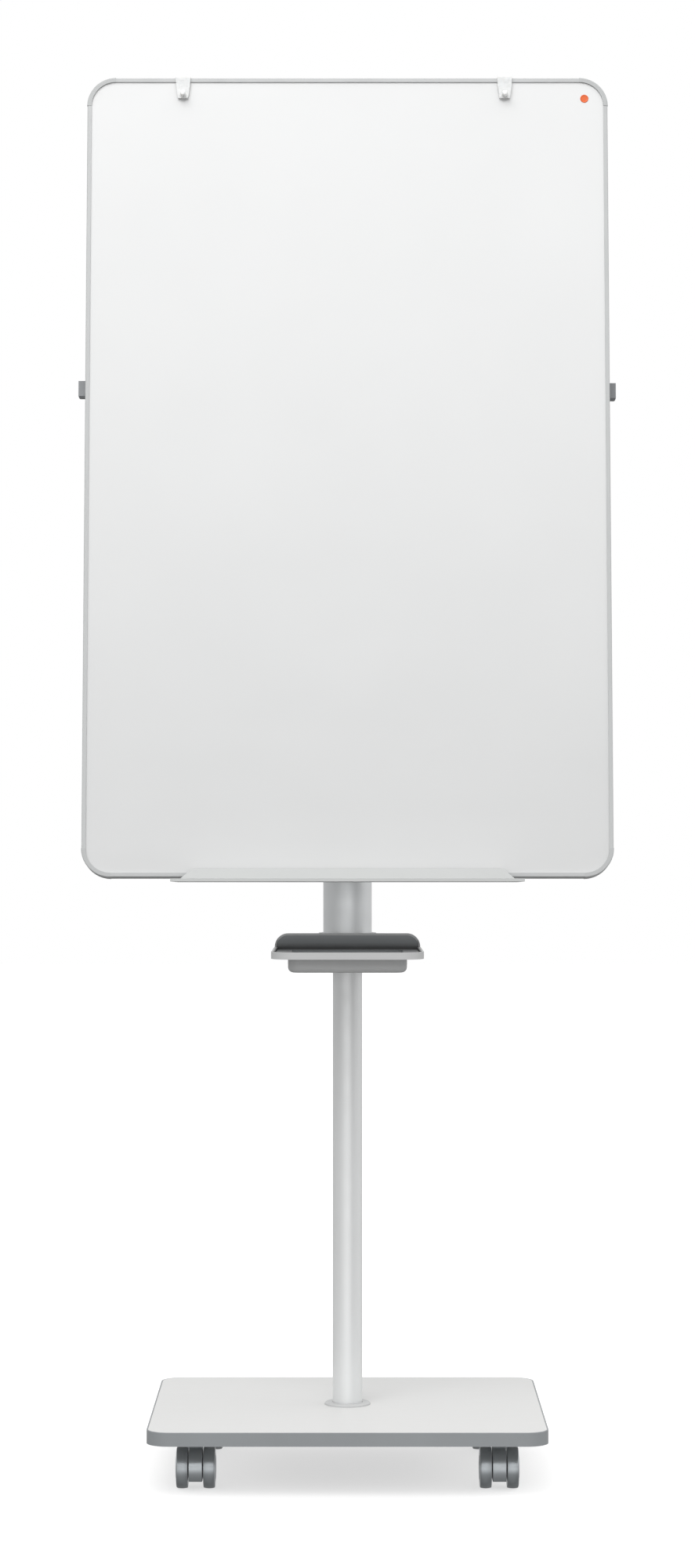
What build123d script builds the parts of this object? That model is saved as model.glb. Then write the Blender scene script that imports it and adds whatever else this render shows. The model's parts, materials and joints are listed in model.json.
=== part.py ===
from build123d import *
import math
import os

# Flipchart easel. Millimetres, +Z up, front towards -Y, origin on the floor under the post.

# ---- driving dimensions ----
BASE_W, BASE_D, BASE_T = 525, 450, 18
BASE_Z = 69                      # underside of the base board
BASE_R = 30
BAND_T = 2                       # thickness of the edge band round the base board
BALLAST = (230, 330, 8)          # steel plate under the base board, half sunk in it

POST_R, POST_WALL = 20, 2
POST_TOP = 1060
COLUMN_R, COLUMN_WALL = 33, 2
COLUMN_BOTTOM, COLUMN_TOP = 700, 1380
RUN = 0.05                       # radial running clearance of shafts in bores

BOARD_W, BOARD_H = 700, 1080
FRAME_D = 28                     # depth of the frame profile
FRAME_R = 38                     # outer corner radius of the board
LIP = 5.5                        # width of the frame face round the writing sheet
LEAN = 6.7                       # degrees that the board leans back
HINGE_Y, HINGE_Z = -62, 1300     # tilt axis
HINGE_UP, HINGE_BACK = 502, 48.4  # tilt axis above the board's lower edge and behind its face

SHEET_FRONT, SHEET_T = 2, 0.5    # writing sheet: depth behind the frame face, and thickness
PANEL_BACK = 20                  # rear face of the panel

ARM_UP = 659                     # height of the arms above the board's lower edge
ARM_H, ARM_T = 20, 5
ARM_LAYERS = {"left": 33, "right": 46}   # depth of each arm's centre behind the board's face
ARM_TIP = 361                    # outer end of each arm when pushed in
GUIDE_X = (130, 310)             # places of the arm guides, to both sides

HOOK_X = {"left": -221.4, "right": 211.6}

CASTER_X, CASTER_Y = 200, 123    # stems of the casters
CASTER_TRAIL = 20                # the wheels stand this far outside the stems
WHEEL_R, WHEEL_W, WHEEL_GAP = 27.5, 15.4, 1.2
HOOD_W = 18

TRAY_W, TRAY_FRONT, TRAY_BACK = 200.7, -220, -41
TRAY_TOP, TRAY_RIM = 710, 9.3
BOWL_W, BOWL_BOTTOM = 156, 682.4

LEDGE_FRONT_W, LEDGE_BACK_W = 463, 404
LEDGE_REACH = 32                 # the ledge in front of the board's face


# ---- helpers ----
def rod(radius, length, centre, axis="Z"):
    """A round bar centred on a point, along X, Y or Z."""
    turn = {"X": (0, 90, 0), "Y": (90, 0, 0), "Z": (0, 0, 0)}[axis]
    return Pos(*centre) * Rot(*turn) * Cylinder(radius, length)


def tube(outer, inner, bottom, top):
    """An upright tube round the Z axis."""
    middle, height = (bottom + top) / 2, top - bottom
    return Pos(0, 0, middle) * (Cylinder(outer, height) - Cylinder(inner, height + 2))


def block(x, y, z):
    """A box between two X, two Y and two Z values."""
    size = [high - low for low, high in (x, y, z)]
    centre = [(high + low) / 2 for low, high in (x, y, z)]
    return Pos(*centre) * Box(*size)


def rounded_plate(width, depth, radius, bottom, top):
    """A flat plate with rounded corners, centred on the Z axis."""
    outline = RectangleRounded(width, depth, radius)
    return extrude(Pos(0, 0, bottom) * outline, top - bottom)


def on_board(shape):
    """Places a shape drawn upright, with the board's face at Y = 0 and its lower edge at Z = 0."""
    lean = Pos(0, HINGE_Y, HINGE_Z) * Rot(-LEAN, 0, 0)
    return lean * Pos(0, -HINGE_BACK, -HINGE_UP) * shape


def save(name, shape):
    """Writes one node: a single solid, or a group of separate solids."""
    if isinstance(shape, (list, tuple)):
        shape = Compound(children=[part.solid() for part in shape])
    shape.label = name
    export_step(shape, f"parts/{name}.step")


def mirrored_pairs(shape):
    """The shape at both signs of X."""
    return [shape, mirror(shape, Plane.YZ)]


# ---- base ----
def socket_places():
    return [(x, y) for y in (-CASTER_Y, CASTER_Y) for x in (-CASTER_X, CASTER_X)]


SOCKET_R, SOCKET_H = 6, 14
STEM_R, STEM_TOP = 4, 80
BALLAST_SUNK = 3


def base_board():
    size = (BASE_W - 2 * BAND_T, BASE_D - 2 * BAND_T, BASE_R - BAND_T)
    board = rounded_plate(*size, BASE_Z, BASE_Z + BASE_T)
    board -= rod(6, 60, (0, 0, BASE_Z))
    width, depth, _ = BALLAST
    board -= rounded_plate(width, depth, 12, BASE_Z - 1, BASE_Z + BALLAST_SUNK)
    for x, y in socket_places():
        board -= rod(SOCKET_R, SOCKET_H, (x, y, BASE_Z + SOCKET_H / 2))
    for x, y in ballast_screw_places():
        board -= rod(2, 11, (x, y, BASE_Z + BALLAST_SUNK + 5.5))
    return board


def base_edge_band():
    outer = rounded_plate(BASE_W, BASE_D, BASE_R, BASE_Z, BASE_Z + BASE_T)
    inner = rounded_plate(BASE_W - 2 * BAND_T, BASE_D - 2 * BAND_T, BASE_R - BAND_T, BASE_Z, BASE_Z + BASE_T)
    band = outer - inner
    return chamfer(band.edges().group_by(Axis.Z)[-1].filter_by(lambda e: e.length > 60), 0.4)


def base_ballast_plate():
    width, depth, thick = BALLAST
    top = BASE_Z + BALLAST_SUNK
    plate = rounded_plate(width, depth, 12, top - thick, top)
    plate -= rod(5.5, 30, (0, 0, top))
    for x, y in ballast_screw_places():
        plate -= rod(2.6, 30, (x, y, top))
    return plate


def ballast_screw_places():
    return [(x, y) for x in (-95, 95) for y in (-145, 145)]


def ballast_screws():
    """Pan-head wood screws through the ballast plate into the base board."""
    under = BASE_Z + BALLAST_SUNK - BALLAST[2]
    screws = []
    for x, y in ballast_screw_places():
        shank = rod(2, 18, (x, y, under + 9))
        head = rod(4, 2.4, (x, y, under - 1.2))
        screws.append(shank + head - rod(1.4, 3, (x, y, under - 2.4)))
    return screws


def lower_post():
    return tube(POST_R, POST_R - POST_WALL, BASE_Z + BASE_T, POST_TOP)


def post_foot_plug():
    """Steel plug welded into the foot of the post, threaded for the bolt."""
    foot = BASE_Z + BASE_T
    plug = rod(POST_R - POST_WALL, 30, (0, 0, foot + 15))
    return plug - rod(5, 40, (0, 0, foot + 15))


def post_bolt():
    """Bolt from below through ballast plate and base board, with its washer."""
    under = BASE_Z + BALLAST_SUNK - BALLAST[2]
    shank = rod(5, 48, (0, 0, under + 20))
    head = extrude(Pos(0, 0, under - 11) * RegularPolygon(9.2, 6), 7)
    washer = tube(13, 5.3, under - 2.5, under)
    return [shank + head, washer]


def post_flange_cover():
    """Domed ring that hides the joint of post and base."""
    foot = BASE_Z + BASE_T
    ring = tube(31, POST_R + 0.4, foot, foot + 3.2)
    return fillet(ring.edges().group_by(Axis.Z)[-1].sort_by(SortBy.LENGTH)[-1], 2.2)


def post_top_glide():
    """Plastic guide on the top of the post that runs inside the column."""
    inside = COLUMN_R - COLUMN_WALL - RUN
    sleeve = tube(inside, POST_R, POST_TOP - 50, POST_TOP)
    cap = rod(inside, 4, (0, 0, POST_TOP + 2))
    return chamfer((sleeve + cap).edges().group_by(Axis.Z)[-1], 1)


# ---- casters ----
def caster_sockets():
    sockets = []
    for x, y in socket_places():
        collar = rod(9, 1.5, (x, y, BASE_Z - 0.75))
        body = rod(SOCKET_R, SOCKET_H, (x, y, BASE_Z + SOCKET_H / 2))
        hole = rod(STEM_R, SOCKET_H + 4, (x, y, BASE_Z + SOCKET_H / 2 - 4))
        sockets.append(collar + body - hole)
    return sockets


def caster_stems():
    """Steel stem of each caster: fixed in its socket, and the hood turns on its lower end."""
    stems = []
    for x, y in socket_places():
        stem = rod(STEM_R, STEM_TOP - 48, (x, y, (STEM_TOP + 48) / 2))
        stems.append(stem + rod(6, 1.4, (x, y, BASE_Z - 2.3)))
    return stems


HOOD_TOP, HOOD_BOTTOM, HOOD_R = 65.6, 12, 26
BOSS_BOTTOM = 56.2               # the boss is wider than the hood, so it stays above the wheels
AXLE_R = 3
PEDAL_PIN_R, PEDAL_Y, PEDAL_Z = 1.5, 27, 49


def wheel_line(y):
    """Y of the axle of a caster with its stem at y: front wheels trail forward, rear wheels back."""
    return y + math.copysign(CASTER_TRAIL, y)


def caster_hood(x, y, braked):
    """Hood between the wheels: a disc round the axle, cut level below, and a swivel boss on the stem."""
    half = HOOD_W / 2
    trail = wheel_line(y) - y
    disc = rod(HOOD_R, HOOD_W, (0, trail, WHEEL_R), "X")
    disc -= block((-half - 1, half + 1), (-80, 80), (-10, HOOD_BOTTOM))
    disc = fillet(disc.edges().filter_by(GeomType.CIRCLE), 0.8)
    neck = block((-half, half), (-12, 12), (34, HOOD_TOP - 2))
    boss = rod(12.5, HOOD_TOP - BOSS_BOTTOM, (0, 0, (HOOD_TOP + BOSS_BOTTOM) / 2))
    boss = fillet(boss.edges().group_by(Axis.Z)[-1], 1.5)
    hood = disc + neck + boss
    hood -= rod(STEM_R + RUN, 30, (0, 0, 62))
    hood -= rod(AXLE_R, HOOD_W + 4, (0, trail, WHEEL_R), "X")
    if braked:
        hood -= block((-5.4, 5.4), (22, 60), (43, 70))
        hood -= rod(PEDAL_PIN_R, 30, (0, PEDAL_Y, PEDAL_Z), "X")
    return Pos(x, y, 0) * hood


def caster_axle(x, y, braked):
    """Steel axle pressed in the hood, with the pedal's pin beside it on a braked caster."""
    length = HOOD_W + 2 * WHEEL_W - 3
    axle = rod(AXLE_R, length, (x, wheel_line(y), WHEEL_R), "X")
    axle = chamfer(axle.edges().filter_by(GeomType.CIRCLE), 0.4)
    if not braked:
        return axle
    return [axle, rod(PEDAL_PIN_R, HOOD_W - 1, (x, y + PEDAL_Y, PEDAL_Z), "X")]


def caster_wheel(x, y, side):
    """One wheel of a twin: crowned tread, outer face with a ring groove, blind bore on the inner side."""
    half = WHEEL_W / 2
    wheel = Cylinder(WHEEL_R + 1, WHEEL_W) & Sphere(WHEEL_R)
    wheel = fillet(wheel.edges().group_by(Axis.Z)[-1], 2.5)
    wheel = fillet(wheel.edges().group_by(Axis.Z)[0], 1.2)
    groove = Pos(0, 0, half) * (Cylinder(19, 1.6) - Cylinder(17.6, 1.6))
    bore = Pos(0, 0, -half) * Cylinder(AXLE_R + RUN, 2 * (WHEEL_W - 1.5))
    wheel = Rot(0, 90 * side, 0) * (wheel - groove - bore)
    offset = side * (HOOD_W / 2 + WHEEL_GAP + half)
    return Pos(x + offset, wheel_line(y), WHEEL_R) * wheel


def brake_pedal(x, y):
    """Foot pedal of a rear caster: it rocks on a pin in the hood's slot."""
    arm = block((-5, 5), (PEDAL_Y - 3, 50), (PEDAL_Z - 2.4, PEDAL_Z + 2.4))
    pad = extrude(Pos(0, 52, PEDAL_Z - 2.4) * RectangleRounded(26, 14, 4), 4.8)
    pedal = arm + pad - rod(PEDAL_PIN_R + RUN, 30, (0, PEDAL_Y, PEDAL_Z), "X")
    return Pos(x, y, 0) * pedal


# ---- column ----
def upper_column():
    return tube(COLUMN_R, COLUMN_R - COLUMN_WALL, COLUMN_BOTTOM, COLUMN_TOP)


def column_top_cap():
    cap = rod(COLUMN_R, 4, (0, 0, COLUMN_TOP + 2))
    cap = fillet(cap.edges().group_by(Axis.Z)[-1], 2.5)
    return cap + tube(COLUMN_R - COLUMN_WALL, COLUMN_R - COLUMN_WALL - 2.5, COLUMN_TOP - 14, COLUMN_TOP)


COLLAR_BOTTOM = 678
KNOB_Z = 692


def column_collar():
    """Guide bush in the foot of the column: a flange below, a boss behind for the height knob."""
    flange = rod(COLUMN_R + 3, COLUMN_BOTTOM - COLLAR_BOTTOM, (0, 0, (COLUMN_BOTTOM + COLLAR_BOTTOM) / 2))
    flange = fillet(flange.edges().group_by(Axis.Z)[0], 3)
    liner = rod(COLUMN_R - COLUMN_WALL, 45, (0, 0, COLUMN_BOTTOM + 22.5))
    boss = rod(10, 20, (0, 36, KNOB_Z - 2), "Y")
    collar = flange + liner + boss
    collar -= rod(POST_R + RUN, 200, (0, 0, COLUMN_BOTTOM))
    return collar - rod(STUD_R + RUN, 60, (0, 40, KNOB_Z - 2), "Y")


STUD_R = 4


def height_knob_stud():
    return rod(STUD_R, 45, (0, POST_R + 0.4 + 22.5, KNOB_Z - 2), "Y")


def lobed_knob(radius, length, lobes):
    """A hand knob with finger hollows, its axis along Z and its base at Z = 0."""
    knob = Pos(0, 0, length / 2) * Cylinder(radius, length)
    for i in range(lobes):
        angle = 2 * math.pi * i / lobes
        knob -= Pos(1.28 * radius * math.cos(angle), 1.28 * radius * math.sin(angle), length / 2) * Cylinder(
            0.45 * radius, length + 2
        )
    return fillet(knob.edges().group_by(Axis.Z)[-1], 1.5)


def height_knob():
    knob = Pos(0, 46.5, KNOB_Z - 2) * Rot(-90, 0, 0) * lobed_knob(19, 22, 6)
    return knob - rod(STUD_R, 40, (0, POST_R + 0.4 + 25, KNOB_Z - 2), "Y")


HEAD_Z = (1262, 1338)
HEAD_R = 40
EAR_X = (10, 20)
TILT_R = 4


def column_head():
    """Cast sleeve round the top of the column, with two ears that carry the tilt bolt."""
    head = tube(HEAD_R, COLUMN_R, *HEAD_Z)
    ear = block(EAR_X, (HINGE_Y, -36), (HINGE_Z - 10, HINGE_Z + 10))
    ear += rod(10, EAR_X[1] - EAR_X[0], (sum(EAR_X) / 2, HINGE_Y, HINGE_Z), "X")
    for part in mirrored_pairs(ear):
        head += part
    head -= rod(TILT_R + RUN, 80, (0, HINGE_Y, HINGE_Z), "X")
    for z in head_screw_heights():
        head -= rod(3, 12, (0, HEAD_R - 3.5, z), "Y")
    head -= rod(COLUMN_R, 200, (0, 0, HINGE_Z))
    return head


def head_screw_heights():
    return (HEAD_Z[0] + 18, HEAD_Z[1] - 18)


def head_screws():
    """Grub screws that clamp the head on the column."""
    screws = []
    for z in head_screw_heights():
        screw = rod(3, 8, (0, COLUMN_R + 4, z), "Y")
        screws.append(screw - extrude(Pos(0, COLUMN_R + 8, z) * Rot(90, 0, 0) * RegularPolygon(1.7, 6), 4))
    return screws


# ---- tray on the column ----
TRAY_WALL = 2.6
BOWL_FRONT, BOWL_BACK = -200, -66
SPLASH_TOP, SPLASH_W = 728, 196
SPLASH_T = 5
LINER = 1.8                      # thickness of the liner
RECESS = 5                       # depth of the shallow floor round the bowl
TRAY_CORNER_R, BOWL_CORNER_R, BOWL_FOOT_R, SPLASH_CORNER_R = 30, 16, 7, 18
COVE_R, COVE_SKIN = 30, 2        # hollow of the liner's rear wall, and the wall's thickness at its top
TRAY_SCREW_X, TRAY_SCREW_Y, TRAY_SCREW_R = 45, -52, 1.8


def tray_outline(inset):
    """Plan of the tray: large front corners, small rear ones, narrower at the back."""
    front, back = TRAY_FRONT + inset, TRAY_BACK - inset
    half_front, half_back = TRAY_W / 2 - inset, SPLASH_W / 2 - inset
    corners = [(-half_back, back), (-half_front, front), (half_front, front), (half_back, back)]
    outline = make_face(Polyline(*corners, close=True))
    return fillet(outline.vertices().group_by(Axis.Y)[0], TRAY_CORNER_R - inset)


def bowl_outline(inset):
    width, depth = BOWL_W - 2 * inset, BOWL_BACK - BOWL_FRONT - 2 * inset
    return Pos(0, (BOWL_BACK + BOWL_FRONT) / 2, 0) * RectangleRounded(width, depth, BOWL_CORNER_R - inset)


def bowl_solid(inset, top):
    bottom = BOWL_BOTTOM + inset
    bowl = extrude(Pos(0, 0, bottom) * bowl_outline(inset), top - bottom)
    return fillet(bowl.edges().group_by(Axis.Z)[0], BOWL_FOOT_R - inset)


def splash_solid(inset, thick, back):
    """Upright rear wall with rounded top corners."""
    width, height = SPLASH_W - 2 * inset, SPLASH_TOP - inset - TRAY_TOP + TRAY_RIM
    face = Rectangle(width, height)
    face = fillet(face.vertices().group_by(Axis.Y)[-1], SPLASH_CORNER_R - inset)
    upright = Pos(0, back, TRAY_TOP - TRAY_RIM + height / 2) * Rot(90, 0, 0) * face
    return extrude(upright, thick)


def tray_holder():
    plate = extrude(Pos(0, 0, TRAY_TOP - TRAY_RIM) * tray_outline(0), TRAY_RIM)
    shell = plate + bowl_solid(0, TRAY_TOP - 1) + splash_solid(0, SPLASH_T + 3, TRAY_BACK)
    ring = tube(COLUMN_R + 6, COLUMN_R, COLUMN_BOTTOM + 1, COLUMN_BOTTOM + 27)
    link = block((-26, 26), (TRAY_BACK - 1, -28), (COLUMN_BOTTOM + 1, COLUMN_BOTTOM + 27))
    shell = shell + ring + link - rod(COLUMN_R, 80, (0, 0, COLUMN_BOTTOM + 10))
    shell -= liner_cavity(TRAY_WALL)
    for x in (-TRAY_SCREW_X, TRAY_SCREW_X):
        shell -= rod(TRAY_SCREW_R, 30, (x, TRAY_SCREW_Y, TRAY_TOP))
    return shell


def liner_cavity(inset):
    """The recess of the tray: a shallow floor, the bowl, and the front of the rear wall."""
    floor = TRAY_TOP - RECESS + inset - TRAY_WALL
    recess = extrude(Pos(0, 0, floor) * tray_outline(inset), 60)
    low = block((-200, 200), (TRAY_FRONT - 1, TRAY_BACK - SPLASH_T), (0, 900))
    return (recess & low) + bowl_solid(inset, floor + 1)


def tray_insert():
    """Dark liner in the recess, with a rear wall that rises to just below the top of the tray's."""
    outer = liner_cavity(TRAY_WALL)
    inside = liner_cavity(TRAY_WALL + LINER)
    under = block((-200, 200), (-300, 0), (0, TRAY_TOP))
    insert = (outer & under) - inside
    wall = splash_solid(TRAY_WALL, 12, TRAY_BACK - SPLASH_T)
    cove_y = TRAY_BACK - SPLASH_T - COVE_SKIN - COVE_R
    cove = rod(COVE_R, 300, (0, cove_y, SPLASH_TOP + 6), "X")
    return insert + (wall - cove - block((-200, 200), (-300, 0), (0, TRAY_TOP - 3.2)))


def tray_screws():
    """Headless screws through the tray's rear edge into the link."""
    top = TRAY_TOP - RECESS
    return [rod(TRAY_SCREW_R, 8, (x, TRAY_SCREW_Y, top - 4)) for x in (-TRAY_SCREW_X, TRAY_SCREW_X)]


# ---- board ----
FRAME_SKIN = 1.6                 # wall of the frame extrusion


def from_corner(x, y, width, height):
    """A rectangle with its lower left corner at a point."""
    return Pos(x, y) * Rectangle(width, height, align=(Align.MIN, Align.MIN))


def frame_profile():
    """Section of the frame: X is the depth behind the face, Y is the distance in from the outer edge."""
    outline = from_corner(0, 0, FRAME_D, 14)
    front_channel = from_corner(SHEET_FRONT, FRAME_SKIN, PANEL_BACK - SHEET_FRONT, 20)
    front_cut = from_corner(-1, LIP, SHEET_FRONT + 2, 20)
    rear_groove = from_corner(PANEL_BACK + 1.5, FRAME_SKIN, 5, 20)
    rear_cut = from_corner(PANEL_BACK + 1.5, 10, 20, 20)
    profile = outline - front_channel - front_cut - rear_groove - rear_cut
    corners = profile.vertices().group_by(Axis.Y)[0]
    return fillet(corners, 1.2)


def rail(length):
    """A straight frame rail along X, centred, its outer edge at Z = 0 and its body above it."""
    section = Plane(origin=(-length / 2, 0, 0), x_dir=(0, 1, 0), z_dir=(1, 0, 0)) * frame_profile()
    return extrude(section, length)


def frame_rails():
    across, up = BOARD_W - 2 * FRAME_R, BOARD_H - 2 * FRAME_R
    middle = Pos(0, 0, BOARD_H / 2)
    return {
        "bottom": rail(across),
        "top": Pos(0, 0, BOARD_H) * mirror(rail(across), Plane.XY),
        "left": middle * Rot(0, 90, 0) * Pos(0, 0, -BOARD_W / 2) * rail(up),
        "right": middle * Rot(0, -90, 0) * Pos(0, 0, -BOARD_W / 2) * rail(up),
    }


def frame_corner():
    """A moulded corner, a little proud of the rails, its arc centred on the origin."""
    proud = 0.5
    section = from_corner(-proud, -proud, FRAME_D + proud, 14 + proud)
    section = fillet(section.vertices().group_by(Axis.Y)[0], 1.4)
    section -= from_corner(SHEET_FRONT, FRAME_SKIN, PANEL_BACK - SHEET_FRONT, 20)
    section -= from_corner(-1, LIP, SHEET_FRONT + 2, 20)
    section -= from_corner(PANEL_BACK + 1.5, 10, 20, 20)
    placed = Plane(origin=(0, 0, -FRAME_R), x_dir=(0, 1, 0), z_dir=(1, 0, 0)) * section
    return revolve(placed, Axis.Y, 90)


def frame_corners():
    corners = []
    for x, z, turn in ((-1, 0, 0), (-1, 1, 90), (1, 1, 180), (1, 0, -90)):
        centre = (x * (BOARD_W / 2 - FRAME_R), 0, z * (BOARD_H - 2 * FRAME_R) + FRAME_R)
        corners.append(Pos(*centre) * Rot(0, turn, 0) * frame_corner())
    return corners


def panel_layer(front, back):
    """One flat layer of the board's panel, between two depths."""
    inset = 1.7
    outline = RectangleRounded(BOARD_W - 2 * inset, BOARD_H - 2 * inset, FRAME_R - inset)
    upright = Pos(0, back, BOARD_H / 2) * Rot(90, 0, 0) * outline
    return extrude(upright, back - front)


BRACKET_W, BRACKET_H, BRACKET_T = 170, 120, 3
TAB_X = (20.6, 24.6)


def board_screw_places():
    """Screws on the board's back: four hold the bracket, and two hold each arm guide."""
    bracket = [(x, HINGE_UP + z, PANEL_BACK + BRACKET_T) for x in (-68, 68) for z in (-45, 45)]
    guides = [(s * x, ARM_UP + z, PANEL_BACK + 4) for x in GUIDE_X for s in (-1, 1) for z in (-23, 23)]
    return bracket + guides


def board_core():
    core = panel_layer(SHEET_FRONT + SHEET_T, PANEL_BACK - SHEET_T)
    for x, z, _ in board_screw_places():
        core -= rod(2, 20, (x, PANEL_BACK - 2, z), "Y")
    return core


def board_back_sheet():
    sheet = panel_layer(PANEL_BACK - SHEET_T, PANEL_BACK)
    for x, z, _ in board_screw_places():
        sheet -= rod(2, 20, (x, PANEL_BACK - 2, z), "Y")
    return sheet


def board_screws():
    screws = []
    for x, z, seat in board_screw_places():
        shank = rod(2, seat - 8, (x, (seat + 8) / 2, z), "Y")
        head = rod(4, 2.4, (x, seat + 1.2, z), "Y")
        screws.append(shank + head - rod(1.4, 3, (x, seat + 2.4, z), "Y"))
    return screws


def board_bracket():
    """Steel plate on the board's back with two tabs that straddle the head's ears."""
    outline = RectangleRounded(BRACKET_W, BRACKET_H, 8)
    bracket = extrude(Pos(0, PANEL_BACK + BRACKET_T, HINGE_UP) * Rot(90, 0, 0) * outline, BRACKET_T)
    tab = block(TAB_X, (PANEL_BACK + 1, HINGE_BACK), (HINGE_UP - 14, HINGE_UP + 14))
    tab += rod(14, TAB_X[1] - TAB_X[0], (sum(TAB_X) / 2, HINGE_BACK, HINGE_UP), "X")
    for part in mirrored_pairs(tab):
        bracket += part
    bracket -= rod(TILT_R, 80, (0, HINGE_BACK, HINGE_UP), "X")
    for x, z, _ in board_screw_places()[:4]:
        bracket -= rod(2, 20, (x, PANEL_BACK, z), "Y")
    return bracket


def tilt_bolt():
    """Bolt through bracket and head: hexagon head on the left, thread for the knob on the right."""
    shank = rod(TILT_R, 76, (12, HINGE_BACK, HINGE_UP), "X")
    head = Pos(-TAB_X[1], HINGE_BACK, HINGE_UP) * Rot(0, -90, 0) * extrude(RegularPolygon(7.5, 6), 5.5)
    return shank + head


def tilt_knob():
    knob = Pos(TAB_X[1] + 0.4, HINGE_BACK, HINGE_UP) * Rot(0, 90, 0) * lobed_knob(17, 26, 5)
    return knob - rod(TILT_R + RUN, 90, (12, HINGE_BACK, HINGE_UP), "X")


# ---- extension arms ----
GRIP_W, GRIP_H, GRIP_T = 23, 23, 9.2
GRIP_BEVEL = 3.6                 # side of the square that cuts the bevel
ARM_CLEAR = 0.3
STOP_H = 4


def arm_blank(x, depth):
    """The flat bar's own section between two X values, its middle at a depth behind the board's face."""
    return block(x, (depth - ARM_T / 2, depth + ARM_T / 2), (ARM_UP - ARM_H / 2, ARM_UP + ARM_H / 2))


def arm_bar(side):
    """Flat bar behind the board, with a stop rib near its inner end."""
    sign = -1 if side == "left" else 1
    depth = ARM_LAYERS[side]
    tip, inner = sign * (ARM_TIP - 4), -sign * (GUIDE_X[1] + 28)
    bar = arm_blank(sorted((tip, inner)), depth)
    stop_x = -sign * (GUIDE_X[1] + 25)
    high = (ARM_UP - STOP_H / 2, ARM_UP + STOP_H / 2)
    return bar + block((stop_x - 2.5, stop_x + 2.5), (depth - ARM_T / 2 - 2, depth), high)


def arm_grip(side):
    """Moulded end piece with a bevel along its lower front edge and a rounded lower outer corner."""
    sign = -1 if side == "left" else 1
    depth = ARM_LAYERS[side]
    face = Rectangle(GRIP_W, GRIP_H)
    lower = face.vertices().group_by(Axis.Y)[0].sort_by(Axis.X)
    face = fillet(lower[0] if sign < 0 else lower[-1], 3)
    centre = (sign * (ARM_TIP - GRIP_W / 2), depth + GRIP_T / 2, ARM_UP)
    grip = extrude(Pos(*centre) * Rot(90, 0, 0) * face, GRIP_T)
    lower_front = (centre[0], depth - GRIP_T / 2, ARM_UP - GRIP_H / 2)
    grip -= Pos(*lower_front) * Rot(45, 0, 0) * Box(GRIP_W + 10, GRIP_BEVEL, GRIP_BEVEL)
    tip, inner = sign * (ARM_TIP - 4), sign * (ARM_TIP - 60)
    return grip - arm_blank(sorted((tip, inner)), depth)


def arm_guides():
    """Four moulded guides on the board's back, each with a slot for either arm."""
    guides = []
    for x in (-GUIDE_X[1], -GUIDE_X[0], GUIDE_X[0], GUIDE_X[1]):
        body = block((x - 12, x + 12), (PANEL_BACK, 52), (ARM_UP - 15, ARM_UP + 15))
        foot = block((x - 12, x + 12), (PANEL_BACK, PANEL_BACK + 4), (ARM_UP - 29, ARM_UP + 29))
        guide = body + foot
        for side, depth in ARM_LAYERS.items():
            high, half = ARM_H / 2 + ARM_CLEAR, ARM_T / 2 + ARM_CLEAR
            guide -= block((x - 13, x + 13), (depth - half, depth + half), (ARM_UP - high, ARM_UP + high))
            stops_here = x == (-GUIDE_X[0] if side == "left" else GUIDE_X[0])
            if not stops_here:
                notch = STOP_H / 2 + ARM_CLEAR
                high = (ARM_UP - notch, ARM_UP + notch)
                guide -= block((x - 13, x + 13), (depth - half - 2.2, depth), high)
        for z in (-23, 23):
            guide -= rod(2, 20, (x, PANEL_BACK, ARM_UP + z), "Y")
        guides.append(guide)
    return guides


# ---- pad hooks ----
HOOK_GAP = 0.35
HOOK_TOP_T, HOOK_LEG_T, HOOK_DROP = 2.2, 3, 29
PEG_R, PEG_REACH = 3.7, 12
PEG_UP = 24                      # peg centre below the frame's top edge


def pad_hook(x):
    """Clip over the top rail: tapered front leg with a peg, top bridge, and a toe in the rail's groove."""
    top = BOARD_H + HOOK_GAP + HOOK_TOP_T
    foot = -HOOK_DROP - HOOK_TOP_T
    face = Polygon((-10, 0), (-9.4, -12), (-7, foot), (7, foot), (9.4, -12), (10, 0), align=None)
    face = fillet(face.vertices().group_by(Axis.Y)[0], 1.6)
    front = extrude(Pos(x, -HOOK_GAP, top) * Rot(90, 0, 0) * face, HOOK_LEG_T)
    front_y = -HOOK_GAP - HOOK_LEG_T
    rear_y = FRAME_D + HOOK_GAP
    bridge = block((x - 10, x + 10), (front_y, rear_y + HOOK_LEG_T), (top - HOOK_TOP_T, top))
    toe_z = BOARD_H - 10 - HOOK_GAP
    rear = block((x - 10, x + 10), (rear_y, rear_y + HOOK_LEG_T), (toe_z - 3, top))
    toe = block((x - 10, x + 10), (FRAME_D - 4.4, rear_y + 1), (toe_z - 3, toe_z))
    peg = rod(PEG_R, PEG_REACH, (x, front_y - PEG_REACH / 2 + 1, BOARD_H - PEG_UP), "Y")
    peg = fillet(peg.edges().group_by(Axis.Y)[0], 1.6)
    return front + bridge + rear + toe + peg


# ---- pen ledge ----
LEDGE_T = 1.8
LEDGE_GAP = 0.3                  # between the ledge and the frame it hangs on
LEDGE_TOP, LEDGE_FLOOR = 10.8, -7.2
LEDGE_LIP, LEDGE_TROUGH = -5, 10  # top of the front lip, and width of the flat floor
CLIP_UP = 11.5                   # toe of the rear clip, in the frame's rear groove


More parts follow.
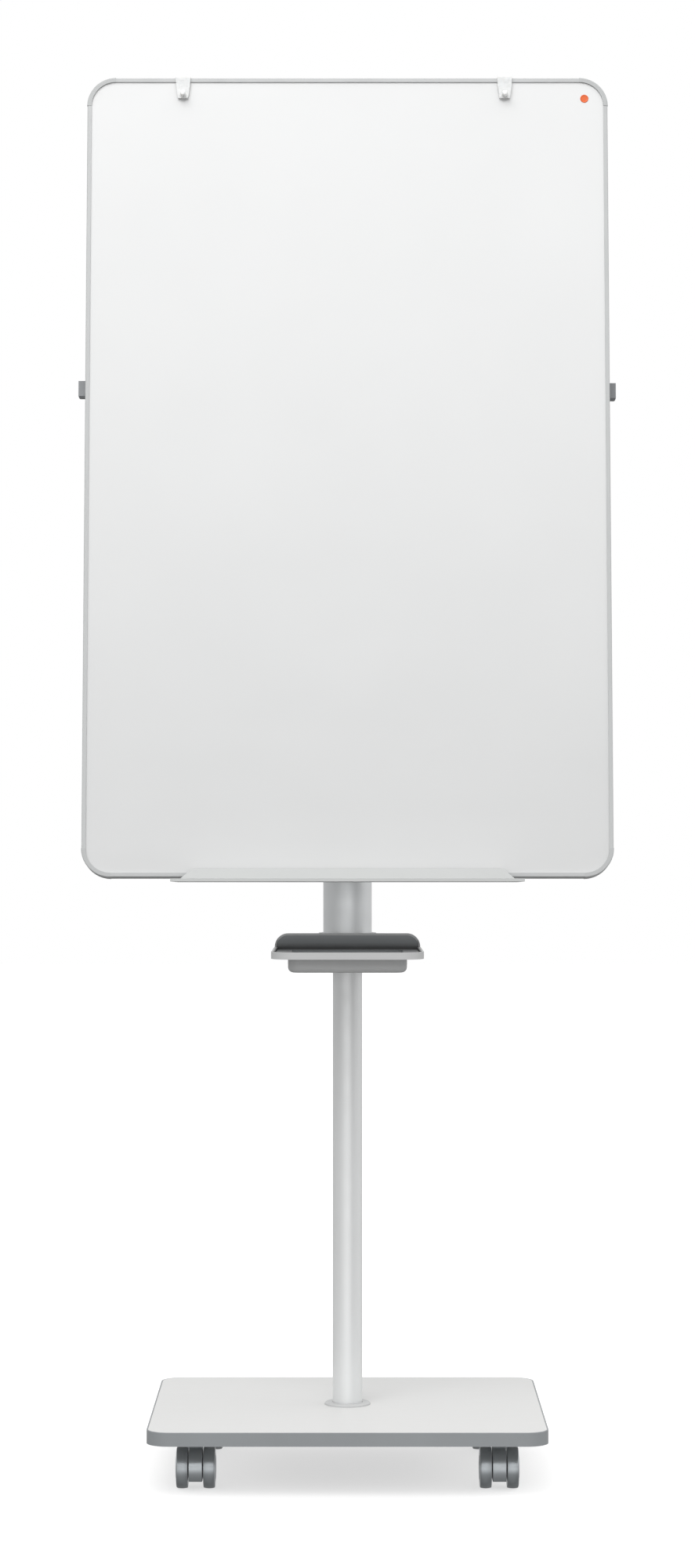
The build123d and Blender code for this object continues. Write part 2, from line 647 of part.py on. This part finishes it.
def ledge_section():
    """Extruded section: sloped wall, floor, front lip, foot under the frame, and a clip up its rear."""
    t, gap = LEDGE_T, LEDGE_GAP
    floor_back = -LEDGE_REACH + LEDGE_TROUGH
    slope = (LEDGE_TOP - LEDGE_FLOOR) / (-gap - t - floor_back)
    drop = t * math.hypot(1, slope)

    def under_wall(z):
        return floor_back + (z + drop - LEDGE_FLOOR) / slope

    path = [
        (-gap, LEDGE_TOP),
        (-gap - t, LEDGE_TOP),
        (floor_back, LEDGE_FLOOR),
        (-LEDGE_REACH + 2.6, LEDGE_FLOOR),
        (-LEDGE_REACH + 1.8, LEDGE_LIP),
        (-LEDGE_REACH, LEDGE_LIP),
        (-LEDGE_REACH, LEDGE_FLOOR - t),
        (under_wall(LEDGE_FLOOR - t), LEDGE_FLOOR - t),
        (under_wall(-gap - t), -gap - t),
        (FRAME_D + gap + t, -gap - t),
        (FRAME_D + gap + t, CLIP_UP),
        (FRAME_D - 4.4, CLIP_UP),
        (FRAME_D - 4.4, CLIP_UP - 1.2),
        (FRAME_D + gap, CLIP_UP - 1.2),
        (FRAME_D + gap, -gap),
        (-gap, -gap),
    ]
    hollow = [(-gap - t, -gap), (-gap - t, LEDGE_TOP - drop), (under_wall(-gap), -gap)]
    return make_face(Polyline(*path, close=True)) - make_face(Polyline(*hollow, close=True))


def pen_ledge():
    """The ledge on the board's foot, its ends cut slanting from the wide front to the narrow back."""
    half_front, half_back = LEDGE_FRONT_W / 2, LEDGE_BACK_W / 2
    start = Plane(origin=(-half_front, 0, 0), x_dir=(0, 1, 0), z_dir=(1, 0, 0))
    ledge = extrude(start * ledge_section(), LEDGE_FRONT_W)
    plan = Polygon(
        (-half_front, -LEDGE_REACH),
        (half_front, -LEDGE_REACH),
        (half_back, 0),
        (half_back, 60),
        (-half_back, 60),
        (-half_back, 0),
        align=None,
    )
    return ledge & extrude(Pos(0, 0, -20) * plan, 60)


# ---- write every node ----
def base_nodes():
    return {
        "base_board": base_board(),
        "base_edge_band": base_edge_band(),
        "base_ballast_plate": base_ballast_plate(),
        "ballast_screws": ballast_screws(),
        "lower_post": lower_post(),
        "post_foot_plug": post_foot_plug(),
        "post_bolt": post_bolt(),
        "post_flange_cover": post_flange_cover(),
        "post_top_glide": post_top_glide(),
        "caster_sockets": caster_sockets(),
        "caster_stems": caster_stems(),
    }


def caster_nodes():
    nodes = {}
    for row, y in (("front", -CASTER_Y), ("rear", CASTER_Y)):
        for side, x in (("left", -CASTER_X), ("right", CASTER_X)):
            name = f"caster_{row}_{side}"
            braked = row == "rear"
            nodes[f"{name}_hood"] = caster_hood(x, y, braked)
            nodes[f"{name}_axle"] = caster_axle(x, y, braked)
            nodes[f"{name}_wheel_a"] = caster_wheel(x, y, -1)
            nodes[f"{name}_wheel_b"] = caster_wheel(x, y, 1)
            if braked:
                nodes[f"{name}_pedal"] = brake_pedal(x, y)
    return nodes


def column_nodes():
    return {
        "upper_column": upper_column(),
        "column_top_cap": column_top_cap(),
        "column_collar": column_collar(),
        "column_head": column_head(),
        "head_screws": head_screws(),
        "height_knob": height_knob(),
        "height_knob_stud": height_knob_stud(),
        "tray_holder": tray_holder(),
        "tray_insert": tray_insert(),
        "tray_screws": tray_screws(),
    }


def board_nodes():
    nodes = {
        "writing_sheet": panel_layer(SHEET_FRONT, SHEET_FRONT + SHEET_T),
        "board_core": board_core(),
        "board_back_sheet": board_back_sheet(),
        "frame_corners": frame_corners(),
        "board_bracket": board_bracket(),
        "board_screws": board_screws(),
        "arm_guides": arm_guides(),
        "pen_ledge": pen_ledge(),
        "tilt_bolt": tilt_bolt(),
        "tilt_knob": tilt_knob(),
    }
    for side, shape in frame_rails().items():
        nodes[f"frame_rail_{side}"] = shape
    for side in ARM_LAYERS:
        nodes[f"arm_bar_{side}"] = arm_bar(side)
        nodes[f"arm_grip_{side}"] = arm_grip(side)
        nodes[f"pad_hook_{side}"] = pad_hook(HOOK_X[side])
    placed = {}
    for name, shape in nodes.items():
        placed[name] = [on_board(s) for s in shape] if isinstance(shape, list) else on_board(shape)
    return placed


os.makedirs("parts", exist_ok=True)
for nodes in (base_nodes(), caster_nodes(), column_nodes(), board_nodes()):
    for name, shape in nodes.items():
        save(name, shape)
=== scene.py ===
import json
import math

import bmesh
import bpy
from mathutils import Matrix, Vector


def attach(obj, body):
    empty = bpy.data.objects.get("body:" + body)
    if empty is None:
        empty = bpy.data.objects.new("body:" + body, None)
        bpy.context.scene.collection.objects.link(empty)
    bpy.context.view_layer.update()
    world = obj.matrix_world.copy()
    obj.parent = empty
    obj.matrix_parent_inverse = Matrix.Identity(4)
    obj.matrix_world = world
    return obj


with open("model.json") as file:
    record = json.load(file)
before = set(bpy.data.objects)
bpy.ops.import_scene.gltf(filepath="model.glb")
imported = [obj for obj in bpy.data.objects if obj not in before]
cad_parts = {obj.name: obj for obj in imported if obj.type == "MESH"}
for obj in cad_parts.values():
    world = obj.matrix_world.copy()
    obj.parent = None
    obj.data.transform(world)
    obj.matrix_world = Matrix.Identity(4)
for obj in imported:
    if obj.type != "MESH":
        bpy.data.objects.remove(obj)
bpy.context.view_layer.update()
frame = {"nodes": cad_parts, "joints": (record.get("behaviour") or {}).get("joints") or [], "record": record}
NODES = frame["nodes"]

# The board leans back about the tilt hinge. Places on it are given across it, up it, and out of its face.
LEAN = math.radians(6.7)
HINGE = Vector(next(j["pos_m"] for j in frame["joints"] if j["name"] == "board_tilt"))
HINGE_UP, HINGE_BACK = 0.502, 0.0484
BOARD_H = 1.080


def on_board(x, up, out=0.0):
    """A point given across the board, up from its lower edge and out from its face."""
    u = Vector((0, math.sin(LEAN), math.cos(LEAN)))
    n = Vector((0, -math.cos(LEAN), math.sin(LEAN)))
    return HINGE + Vector((x, 0, 0)) + u * (up - HINGE_UP) + n * (out + HINGE_BACK)


def board_matrix(x, up, out=0.0):
    """A frame on the board's face: X across, Y up the board, Z out of the face."""
    turn = Matrix.Rotation(math.pi / 2 - LEAN, 4, "X")
    return Matrix.Translation(on_board(x, up, out)) @ turn


# ---------------------------------------------------------------- materials
def new_material(name):
    material = bpy.data.materials.new(name)
    material.use_nodes = True
    return material, material.node_tree, material.node_tree.nodes["Principled BSDF"]


def add(tree, kind, **values):
    """Adds a shader node and sets the input sockets named in values."""
    node = tree.nodes.new(kind)
    for key, value in values.items():
        node.inputs[key.replace("_", " ")].default_value = value
    return node


def noise(tree, scale, detail=3.0, stretch=(1, 1, 1)):
    """Noise in the object's own coordinates, in metres, optionally stretched."""
    coords = tree.nodes.new("ShaderNodeTexCoord")
    mapping = tree.nodes.new("ShaderNodeMapping")
    mapping.inputs["Scale"].default_value = stretch
    texture = add(tree, "ShaderNodeTexNoise", Scale=scale, Detail=detail)
    tree.links.new(coords.outputs["Object"], mapping.inputs["Vector"])
    tree.links.new(mapping.outputs["Vector"], texture.inputs["Vector"])
    return texture.outputs["Fac"]


def spread(tree, value, low, high):
    """Maps a noise value from its usual middle range onto low to high."""
    node = add(tree, "ShaderNodeMapRange", From_Min=0.3, From_Max=0.7, To_Min=low, To_Max=high)
    tree.links.new(value, node.inputs["Value"])
    return node.outputs["Result"]


def blend_colours(tree, factor, first, second):
    node = tree.nodes.new("ShaderNodeMix")
    node.data_type = "RGBA"
    node.inputs["A"].default_value = (*first, 1)
    node.inputs["B"].default_value = (*second, 1)
    tree.links.new(factor, node.inputs["Factor"])
    return node.outputs["Result"]


def bump(tree, height, strength, distance, normal=None):
    node = add(tree, "ShaderNodeBump", Strength=strength, Distance=distance)
    tree.links.new(height, node.inputs["Height"])
    if normal is not None:
        tree.links.new(normal, node.inputs["Normal"])
    return node.outputs["Normal"]


def ramp(tree, value, stops):
    """Brightness as a function of value, from (value, brightness) stops; brightness may pass 1."""
    node = tree.nodes.new("ShaderNodeFloatCurve")
    low, high = stops[0][0], stops[-1][0]
    top = max(level for _, level in stops)
    scaled = add(tree, "ShaderNodeMapRange", From_Min=low, From_Max=high)
    tree.links.new(value, scaled.inputs["Value"])
    points = node.mapping.curves[0].points
    while len(points) < len(stops):
        points.new(0.5, 0.5)
    for point, (place, level) in zip(points, stops):
        point.location = ((place - low) / (high - low), level / top)
        point.handle_type = "VECTOR"
    node.mapping.update()
    tree.links.new(scaled.outputs["Result"], node.inputs["Value"])
    return multiply(tree, node.outputs["Value"], top)


def multiply(tree, first, second):
    node = tree.nodes.new("ShaderNodeMath")
    node.operation = "MULTIPLY"
    for socket, value in zip(node.inputs, (first, second)):
        if isinstance(value, (int, float)):
            socket.default_value = value
        else:
            tree.links.new(value, socket)
    return node.outputs["Value"]


def shade(colour, factor):
    return tuple(min(1.0, c * factor) for c in colour)


def grained(name, colour, rough, grain, depth, metallic=0.0, coat=0.0, stretch=(1, 1, 1), mottle=0.05):
    """Painted, moulded or brushed surface: fine grain in the bump, uneven gloss and slight mottling."""
    material, tree, surface = new_material(name)
    fine = noise(tree, grain, 4.0, stretch)
    broad = noise(tree, 9.0, 3.0)
    smudge = noise(tree, 38.0, 5.0, stretch)
    darker, lighter = shade(colour, 1 - mottle), shade(colour, 1 + mottle / 2)
    tint = blend_colours(tree, spread(tree, broad, 0, 1), darker, lighter)
    tree.links.new(tint, surface.inputs["Base Color"])
    tree.links.new(spread(tree, smudge, rough * 0.86, rough * 1.16), surface.inputs["Roughness"])
    tree.links.new(bump(tree, fine, 0.35, depth), surface.inputs["Normal"])
    surface.inputs["Metallic"].default_value = metallic
    surface.inputs["Coat Weight"].default_value = coat
    surface.inputs["Coat Roughness"].default_value = 0.12
    return material


# Painted shade and light on the tray's liner by height, in metres: the bowl is painted lighter, the shallow
# floor is painted near-black as shadow, and the rear wall is painted dark at its foot and lighter upwards.
LINER_PAINTED_SHADING = [(0.680, 1.3), (0.7035, 1.3), (0.7062, 1.0), (0.7078, 0.1), (0.711, 0.3), (0.716, 0.8),
              (0.722, 1.1), (0.729, 1.5)]


def writing_lacquer():
    """Gloss white lacquer on steel: faint waviness, and a roughness that varies where it has been wiped."""
    material, tree, surface = new_material("writing_lacquer")
    wave = noise(tree, 6.0, 2.0)
    peel = noise(tree, 420.0, 2.0)
    wiped = noise(tree, 5.0, 5.0, (0.5, 1.0, 2.2))
    tint = blend_colours(tree, spread(tree, wave, 0, 1), (0.675, 0.68, 0.68), (0.69, 0.695, 0.695))
    tree.links.new(tint, surface.inputs["Base Color"])
    tree.links.new(spread(tree, wiped, 0.10, 0.17), surface.inputs["Roughness"])
    low = bump(tree, wave, 0.02, 0.002)
    tree.links.new(bump(tree, peel, 0.02, 0.0001, low), surface.inputs["Normal"])
    surface.inputs["Specular IOR Level"].default_value = 1.0
    surface.inputs["Coat Weight"].default_value = 1.0
    surface.inputs["Coat Roughness"].default_value = 0.1
    return material


def translucent_plastic():
    """Milky moulded plastic of the pad hooks."""
    material, tree, surface = new_material("hook_plastic")
    cloud = noise(tree, 160.0, 3.0)
    tint = blend_colours(tree, spread(tree, cloud, 0, 1), (0.80, 0.805, 0.79), (0.87, 0.875, 0.86))
    tree.links.new(tint, surface.inputs["Base Color"])
    tree.links.new(spread(tree, cloud, 0.24, 0.34), surface.inputs["Roughness"])
    surface.inputs["Subsurface Weight"].default_value = 0.7
    surface.inputs["Subsurface Scale"].default_value = 0.012
    surface.inputs["Subsurface Radius"].default_value = (1.0, 0.95, 0.9)
    return material


def laminate():
    """White melamine laminate: very fine pearl texture and slight scuffs."""
    material, tree, surface = new_material("white_laminate")
    pearl = noise(tree, 1500.0, 2.0)
    scuff = noise(tree, 24.0, 6.0, (1.0, 3.0, 1.0))
    tint = blend_colours(tree, spread(tree, scuff, 0, 1), (0.645, 0.645, 0.638), (0.665, 0.665, 0.658))
    tree.links.new(tint, surface.inputs["Base Color"])
    tree.links.new(spread(tree, scuff, 0.36, 0.48), surface.inputs["Roughness"])
    tree.links.new(bump(tree, pearl, 0.25, 0.00006), surface.inputs["Normal"])
    return material


def satin_nylon(name, colour):
    """Dark glass-filled nylon with a strong satin sheen."""
    material = grained(name, colour, 0.36, 900, 0.00003, metallic=0.8, coat=0.6)
    surface = material.node_tree.nodes["Principled BSDF"]
    surface.inputs["Specular IOR Level"].default_value = 1.0
    surface.inputs["Coat Roughness"].default_value = 0.3
    return material


def liner_plastic():
    """Smooth dark liner of the tray, with painted shade and light by height: its rear wall is painted darkest
    at the foot and lighter upwards, its shallow floor near-black and its bowl lighter.
    """
    material = grained("liner_plastic", (0.2, 0.21, 0.215), 0.42, 700, 0.00002, mottle=0.03)
    tree = material.node_tree
    surface = tree.nodes["Principled BSDF"]
    tint = surface.inputs["Base Color"].links[0].from_socket
    coords = tree.nodes.new("ShaderNodeTexCoord")
    parts = tree.nodes.new("ShaderNodeSeparateXYZ")
    tree.links.new(coords.outputs["Object"], parts.inputs[0])
    # Painted shade and light: the liner's colour is scaled by height, dark on the shallow floor and at the
    # foot of the rear wall, lighter in the bowl and up the wall.
    height = ramp(tree, parts.outputs["Z"], LINER_PAINTED_SHADING)
    scale = tree.nodes.new("ShaderNodeVectorMath")
    scale.operation = "SCALE"
    tree.links.new(tint, scale.inputs[0])
    tree.links.new(height, scale.inputs["Scale"])
    tree.links.new(scale.outputs["Vector"], surface.inputs["Base Color"])
    return material


MATERIALS = {
    "writing_surface": writing_lacquer(),
    "hook_plastic": translucent_plastic(),
    "white_laminate": laminate(),
    "edge_band": grained("edge_band", (0.27, 0.285, 0.295), 0.42, 900, 0.0001),
    "ballast_steel": grained("ballast_steel", (0.05, 0.052, 0.056), 0.5, 1100, 0.0002),
    "screw_steel": grained("screw_steel", (0.55, 0.56, 0.57), 0.3, 700, 0.0001, metallic=1.0),
    "post_paint": grained("post_paint", (0.74, 0.75, 0.75), 0.34, 500, 0.00001, metallic=0.45, mottle=0.02),
    "column_paint": grained(
        "column_paint", (0.72, 0.735, 0.74), 0.34, 500, 0.00001, metallic=0.6, mottle=0.02
    ),
    "grey_plastic": grained("grey_plastic", (0.50, 0.505, 0.505), 0.42, 1200, 0.00012),
    "liner_plastic": liner_plastic(),
    "dark_plastic": grained("dark_plastic", (0.045, 0.05, 0.052), 0.38, 1000, 0.00015),
    "collar_plastic": grained("collar_plastic", (0.16, 0.17, 0.175), 0.45, 1000, 0.00015),
    "glide_plastic": grained("glide_plastic", (0.72, 0.72, 0.69), 0.4, 900, 0.0001),
    "cast_alloy": grained("cast_alloy", (0.45, 0.46, 0.465), 0.45, 500, 0.0003, metallic=0.4),
    "core_board": grained("core_board", (0.42, 0.31, 0.18), 0.8, 300, 0.0005),
    "back_sheet": grained("back_sheet", (0.42, 0.43, 0.44), 0.4, 700, 0.0001, metallic=0.3),
    "frame_alloy": grained("frame_alloy", (0.49, 0.50, 0.50), 0.5, 700, 0.00001, metallic=0.12, mottle=0.02),
    "corner_plastic": grained("corner_plastic", (0.46, 0.47, 0.47), 0.45, 700, 0.00002, mottle=0.02),
    "ledge_paint": grained("ledge_paint", (0.50, 0.51, 0.505), 0.4, 700, 0.00001, mottle=0.02),
    "arm_alloy": grained(
        "arm_alloy", (0.58, 0.59, 0.60), 0.3, 600, 0.0001, metallic=0.9, stretch=(0.03, 1, 1)
    ),
    "grip_plastic": grained("grip_plastic", (0.26, 0.27, 0.28), 0.42, 1000, 0.00015),
    "caster_plastic": satin_nylon("caster_plastic", (0.45, 0.48, 0.50)),
    "wheel_plastic": satin_nylon("wheel_plastic", (0.43, 0.46, 0.48)),
    "pedal_plastic": grained("pedal_plastic", (0.16, 0.165, 0.17), 0.42, 1000, 0.00015),
}


def dress_nodes():
    """Gives every CAD node the material of its slot in the record."""
    for row in frame["record"]["subparts"]:
        mesh = NODES[row["node"]].data
        mesh.materials.clear()
        mesh.materials.append(MATERIALS[row["material_slot"]])


dress_nodes()


# ---------------------------------------------------------------- small pieces
BADGE_X, BADGE_DOWN, BADGE_R = 0.319, 0.028, 0.0055
SHEET_DEPTH = 0.002              # the writing sheet behind the frame's face
WHEEL_OUT = 0.0256               # outer face of a caster wheel from its caster's middle


def turned(name, profile, material, steps=64):
    """A turned piece round its own Z axis, from (radius, height) points running outwards from the axis."""
    grid = bmesh.new()
    top = grid.verts.new((0, 0, profile[0][1]))
    rings = []
    for radius, height in profile[1:]:
        angles = [2 * math.pi * i / steps for i in range(steps)]
        rings.append([grid.verts.new((radius * math.cos(a), radius * math.sin(a), height)) for a in angles])
    for i in range(steps):
        after = (i + 1) % steps
        grid.faces.new((top, rings[0][i], rings[0][after]))
        for inner, outer in zip(rings, rings[1:]):
            grid.faces.new((inner[i], outer[i], outer[after], inner[after]))
    grid.faces.new(list(reversed(rings[-1])))
    mesh = bpy.data.meshes.new(name)
    grid.to_mesh(mesh)
    grid.free()
    for face in mesh.polygons:
        face.use_smooth = True
    mesh.materials.append(material)
    piece = bpy.data.objects.new(name, mesh)
    bpy.context.scene.collection.objects.link(piece)
    return piece


def make_badge():
    """Plain round enamel badge at the board's upper right corner, with a raised rim."""
    enamel = grained("badge_enamel", (0.74, 0.12, 0.015), 0.4, 900, 0.00001, mottle=0.03)
    face, rim = 0.00045, 0.00065
    profile = [(0, face), (BADGE_R * 0.5, face), (BADGE_R * 0.82, face), (BADGE_R * 0.88, rim),
               (BADGE_R * 0.94, rim), (BADGE_R, rim * 0.6), (BADGE_R, -0.0001)]
    badge = turned("maker_badge", profile, enamel)
    badge.matrix_world = board_matrix(BADGE_X, BOARD_H - BADGE_DOWN, -SHEET_DEPTH)
    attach(badge, "board")


def make_hub_caps():
    """Snap-in caps on the outer faces of the caster wheels: a raised ring round a dished centre."""
    profile = [(0, 0.0007), (0.0028, 0.0006), (0.0034, 0.0001), (0.0085, 0.0001), (0.0095, 0.0006),
               (0.0150, 0.0008), (0.0160, 0.0006), (0.0164, 0.0), (0.0164, -0.0004)]
    for joint in frame["joints"]:
        if not joint["name"].endswith("_roll"):
            continue
        body = joint["child"]
        side = -1 if body.endswith("_a") else 1
        x, y, z = joint["pos_m"]
        stem_x = math.copysign(0.200, x)
        cap = turned(f"{body}_cap", profile, MATERIALS["caster_plastic"])
        turn = Matrix.Rotation(side * math.pi / 2, 4, "Y")
        cap.matrix_world = Matrix.Translation((stem_x + side * WHEEL_OUT, y, z)) @ turn
        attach(cap, body)


make_badge()
make_hub_caps()


# ---------------------------------------------------------------- studio
CAMERA_Y, CAMERA_Z, CAMERA_LENS = -5.020, 0.929, 84.85


def make_camera():
    data = bpy.data.cameras.new("camera")
    data.lens = CAMERA_LENS
    data.sensor_width = 36
    data.clip_end = 60
    camera = bpy.data.objects.new("camera", data)
    camera.location = (0, CAMERA_Y, CAMERA_Z)
    camera.rotation_euler = (math.pi / 2, 0, 0)
    bpy.context.scene.collection.objects.link(camera)
    bpy.context.scene.camera = camera


def make_floor():
    """Pale floor with a slight glow of its own, which keeps the shadow under the base faint.

    It casts no light on the object: that comes from the studio's lower half instead, so it stays even.
    """
    mesh = bpy.data.meshes.new("floor")
    half = 14
    corners = [(-half, -half, 0), (half, -half, 0), (half, half, 0), (-half, half, 0)]
    mesh.from_pydata(corners, [], [(0, 1, 2, 3)])
    floor = bpy.data.objects.new("floor", mesh)
    bpy.context.scene.collection.objects.link(floor)
    floor.visible_diffuse = False
    floor.visible_glossy = False
    material, _, surface = new_material("floor_paint")
    surface.inputs["Base Color"].default_value = (0.5, 0.5, 0.5, 1)
    surface.inputs["Roughness"].default_value = 0.9
    surface.inputs["Emission Color"].default_value = (1, 1, 1, 1)
    surface.inputs["Emission Strength"].default_value = 0.6
    mesh.materials.append(material)


def area_light(name, place, target, size, power):
    data = bpy.data.lights.new(name, "AREA")
    data.shape = "RECTANGLE"
    data.size, data.size_y = size
    data.energy = power
    light = bpy.data.objects.new(name, data)
    light.location = place
    light.rotation_euler = (Vector(target) - Vector(place)).to_track_quat("-Z", "Y").to_euler()
    bpy.context.scene.collection.objects.link(light)


# Studio brightness by height above the horizon (sine of the elevation), in front of the object and behind it.
FRONT_LIGHT = [(-1, 0.16), (-0.45, 0.20), (-0.2, 0.48), (-0.03, 0.82), (0.1, 0.95), (0.21, 0.12),
               (0.34, 0.88), (0.42, 1.1), (0.75, 1.4), (1, 0.8)]
BACK_LIGHT = [(-1, 0.22), (-0.4, 0.30), (-0.1, 0.75), (0.3, 0.9), (1, 0.9)]
# Brightness round the horizon, by turns from straight ahead of the board, anticlockwise seen from above.
ROUND_LIGHT = [(0, 1.8), (0.04, 1.75), (0.08, 1.1), (0.12, 0.85), (0.17, 1.1), (0.26, 1.25), (0.5, 0.9),
               (0.72, 0.8), (0.80, 0.85), (0.88, 1.1), (0.95, 1.7), (1, 1.8)]


def make_world():
    """White to the camera; to the object, a soft studio that changes with height and round the horizon."""
    world = bpy.data.worlds.new("studio")
    world.use_nodes = True
    tree = world.node_tree
    coords = tree.nodes.new("ShaderNodeTexCoord")
    parts = tree.nodes.new("ShaderNodeSeparateXYZ")
    tree.links.new(coords.outputs["Generated"], parts.inputs[0])
    front = ramp(tree, parts.outputs["Z"], FRONT_LIGHT)
    back = ramp(tree, parts.outputs["Z"], BACK_LIGHT)
    side = add(tree, "ShaderNodeMapRange", From_Min=-0.3, From_Max=0.3)
    tree.links.new(parts.outputs["Y"], side.inputs["Value"])
    mix = tree.nodes.new("ShaderNodeMix")
    tree.links.new(side.outputs["Result"], mix.inputs[0])
    tree.links.new(front, mix.inputs["A"])
    tree.links.new(back, mix.inputs["B"])
    angle = tree.nodes.new("ShaderNodeMath")
    angle.operation = "ARCTAN2"
    tree.links.new(parts.outputs["X"], angle.inputs[0])
    forward = multiply(tree, parts.outputs["Y"], -1.0)
    tree.links.new(forward, angle.inputs[1])
    turns = tree.nodes.new("ShaderNodeMath")
    turns.operation = "WRAP"
    tree.links.new(multiply(tree, angle.outputs["Value"], 1 / (2 * math.pi)), turns.inputs[0])
    turns.inputs[1].default_value = 1
    turns.inputs[2].default_value = 0
    level = multiply(tree, mix.outputs["Result"], ramp(tree, turns.outputs["Value"], ROUND_LIGHT))
    studio = tree.nodes["Background"]
    tree.links.new(level, studio.inputs["Strength"])
    plain = add(tree, "ShaderNodeBackground", Color=(1, 1, 1, 1), Strength=1.0)
    path = tree.nodes.new("ShaderNodeLightPath")
    choose = tree.nodes.new("ShaderNodeMixShader")
    tree.links.new(path.outputs["Is Camera Ray"], choose.inputs["Fac"])
    tree.links.new(studio.outputs["Background"], choose.inputs[1])
    tree.links.new(plain.outputs["Background"], choose.inputs[2])
    tree.links.new(choose.outputs["Shader"], tree.nodes["World Output"].inputs["Surface"])
    studio.inputs["Color"].default_value = (1, 1, 1, 1)
    bpy.context.scene.world = world
    bpy.context.scene.view_settings.view_transform = "Standard"


make_camera()
make_floor()
make_world()
area_light("key", (-1.0, -2.6, 4.2), (0, 0, 1.0), (2.4, 1.6), 45)
